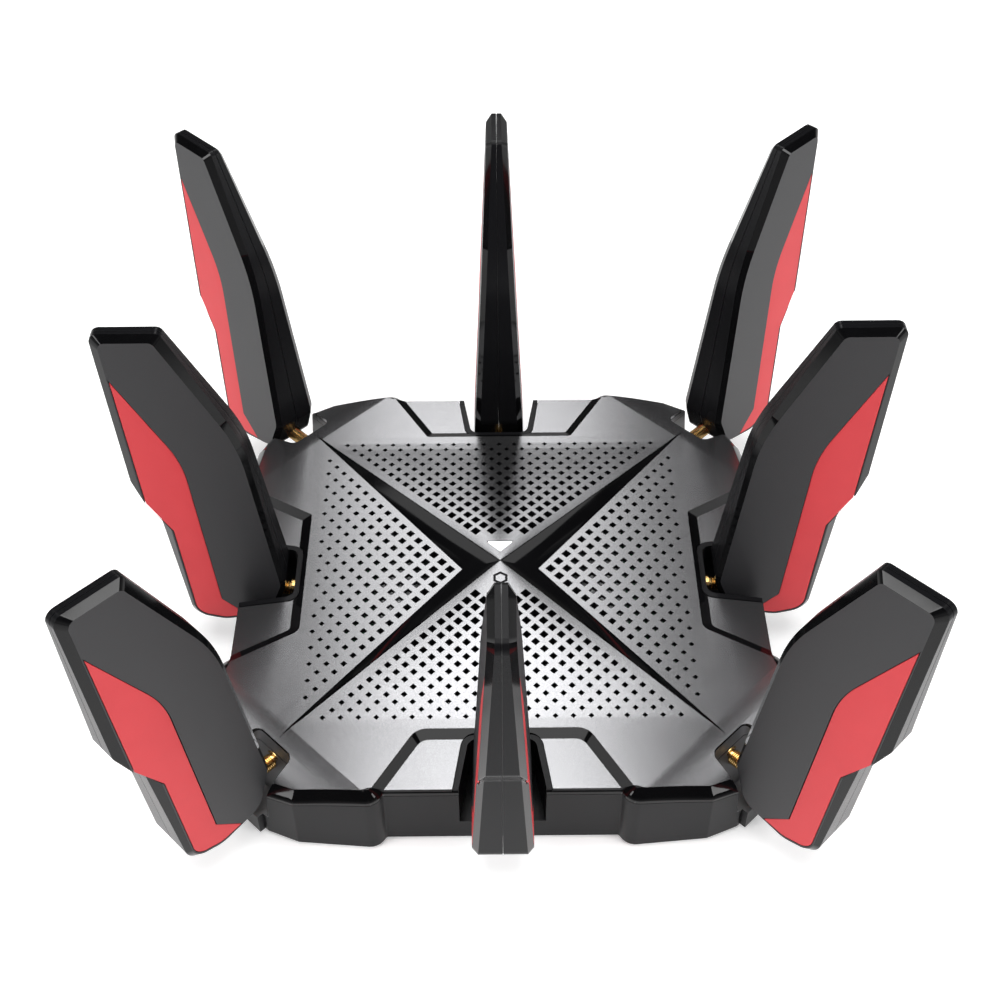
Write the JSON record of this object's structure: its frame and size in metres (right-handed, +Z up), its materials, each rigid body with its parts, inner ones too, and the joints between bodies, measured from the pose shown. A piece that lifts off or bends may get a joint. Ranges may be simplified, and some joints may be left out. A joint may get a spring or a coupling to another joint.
{
  "type": "wireless router",
  "caption": "Low square wireless router with an X-shaped gloss frame over vented grey panels, and black-and-red blade antennas standing round its sides and corners.",
  "frame": {"origin": "on the surface the router stands on, under the middle of the body", "axes": "+Z up, -Y to the front, the sockets and keys at +Y"},
  "size_m": [0.3124, 0.3124, 0.174],
  "materials": {
    "case_black": "satin black moulded plastic",
    "gloss_black": "high gloss black plastic",
    "gunmetal": "satin metallic grey paint with a fine grain",
    "blade_black": "fine-grained satin charcoal plastic with gloss bevels",
    "red": "matte red plastic",
    "gold": "gold-plated brass",
    "light": "translucent white light guide",
    "board": "green solder mask",
    "aluminium": "bare extruded aluminium",
    "port_metal": "nickel-plated steel shell",
    "port_black": "black moulded plastic",
    "rubber": "matte black rubber"
  },
  "bodies": {
    "housing": {"bottom_case": "case_black", "rear_wall": "case_black", "top_frame": "gloss_black", "front_panel": "gunmetal", "right_panel": "gunmetal", "back_panel": "gunmetal", "left_panel": "gunmetal", "status_light_guide": "light", "main_board": "board", "heat_sink": "aluminium", "left_ethernet_block": "port_metal", "right_ethernet_block": "port_metal", "usb_port": "port_metal", "power_jack": "port_black", "front_left_foot": "rubber", "front_right_foot": "rubber", "back_left_foot": "rubber", "back_right_foot": "rubber", "right_antenna_connector": "gold", "back_right_antenna_connector": "gold", "back_antenna_connector": "gold", "back_left_antenna_connector": "gold", "left_antenna_connector": "gold", "front_left_antenna_connector": "gold", "front_antenna_connector": "gold", "front_right_antenna_connector": "gold"},
    "power_button": {"power_button": "port_black"},
    "pairing_button": {"pairing_button": "port_black"},
    "right_antenna": {"right_antenna_clockwise_half": "blade_black", "right_antenna_clockwise_inlay": "red", "right_antenna_anticlockwise_half": "blade_black", "right_antenna_anticlockwise_inlay": "red"},
    "back_right_antenna": {"back_right_antenna_clockwise_half": "blade_black", "back_right_antenna_clockwise_inlay": "red", "back_right_antenna_anticlockwise_half": "blade_black", "back_right_antenna_anticlockwise_inlay": "red"},
    "back_antenna": {"back_antenna_clockwise_half": "blade_black", "back_antenna_clockwise_inlay": "red", "back_antenna_anticlockwise_half": "blade_black", "back_antenna_anticlockwise_inlay": "red"},
    "back_left_antenna": {"back_left_antenna_clockwise_half": "blade_black", "back_left_antenna_clockwise_inlay": "red", "back_left_antenna_anticlockwise_half": "blade_black", "back_left_antenna_anticlockwise_inlay": "red"},
    "left_antenna": {"left_antenna_clockwise_half": "blade_black", "left_antenna_clockwise_inlay": "red", "left_antenna_anticlockwise_half": "blade_black", "left_antenna_anticlockwise_inlay": "red"},
    "front_left_antenna": {"front_left_antenna_clockwise_half": "blade_black", "front_left_antenna_clockwise_inlay": "red", "front_left_antenna_anticlockwise_half": "blade_black", "front_left_antenna_anticlockwise_inlay": "red"},
    "front_antenna": {"front_antenna_clockwise_half": "blade_black", "front_antenna_clockwise_inlay": "red", "front_antenna_anticlockwise_half": "blade_black", "front_antenna_anticlockwise_inlay": "red"},
    "front_right_antenna": {"front_right_antenna_clockwise_half": "blade_black", "front_right_antenna_clockwise_inlay": "red", "front_right_antenna_anticlockwise_half": "blade_black", "front_right_antenna_anticlockwise_inlay": "red"}
  },
  "joints": [
    {"name": "right_antenna_pull", "type": "slide", "parent": "housing", "child": "right_antenna", "axis": [1, 0, 0], "range_m": [0, 0.015]},
    {"name": "back_right_antenna_pull", "type": "slide", "parent": "housing", "child": "back_right_antenna", "axis": [0.7071, 0.7071, 0], "range_m": [0, 0.015]},
    {"name": "back_antenna_pull", "type": "slide", "parent": "housing", "child": "back_antenna", "axis": [0, 1, 0], "range_m": [0, 0.015]},
    {"name": "back_left_antenna_pull", "type": "slide", "parent": "housing", "child": "back_left_antenna", "axis": [-0.7071, 0.7071, 0], "range_m": [0, 0.015]},
    {"name": "left_antenna_pull", "type": "slide", "parent": "housing", "child": "left_antenna", "axis": [-1, 0, 0], "range_m": [0, 0.015]},
    {"name": "front_left_antenna_pull", "type": "slide", "parent": "housing", "child": "front_left_antenna", "axis": [-0.7071, -0.7071, 0], "range_m": [0, 0.015]},
    {"name": "front_antenna_pull", "type": "slide", "parent": "housing", "child": "front_antenna", "axis": [0, -1, 0], "range_m": [0, 0.015]},
    {"name": "front_right_antenna_pull", "type": "slide", "parent": "housing", "child": "front_right_antenna", "axis": [0.7071, -0.7071, 0], "range_m": [0, 0.015]},
    {"name": "power_button_press", "type": "slide", "parent": "housing", "child": "power_button", "axis": [0, -1, 0], "range_m": [0, 0.0015], "stiffness_N_per_m": 500},
    {"name": "pairing_button_press", "type": "slide", "parent": "housing", "child": "pairing_button", "axis": [0, -1, 0], "range_m": [0, 0.0012], "stiffness_N_per_m": 500}
  ]
}
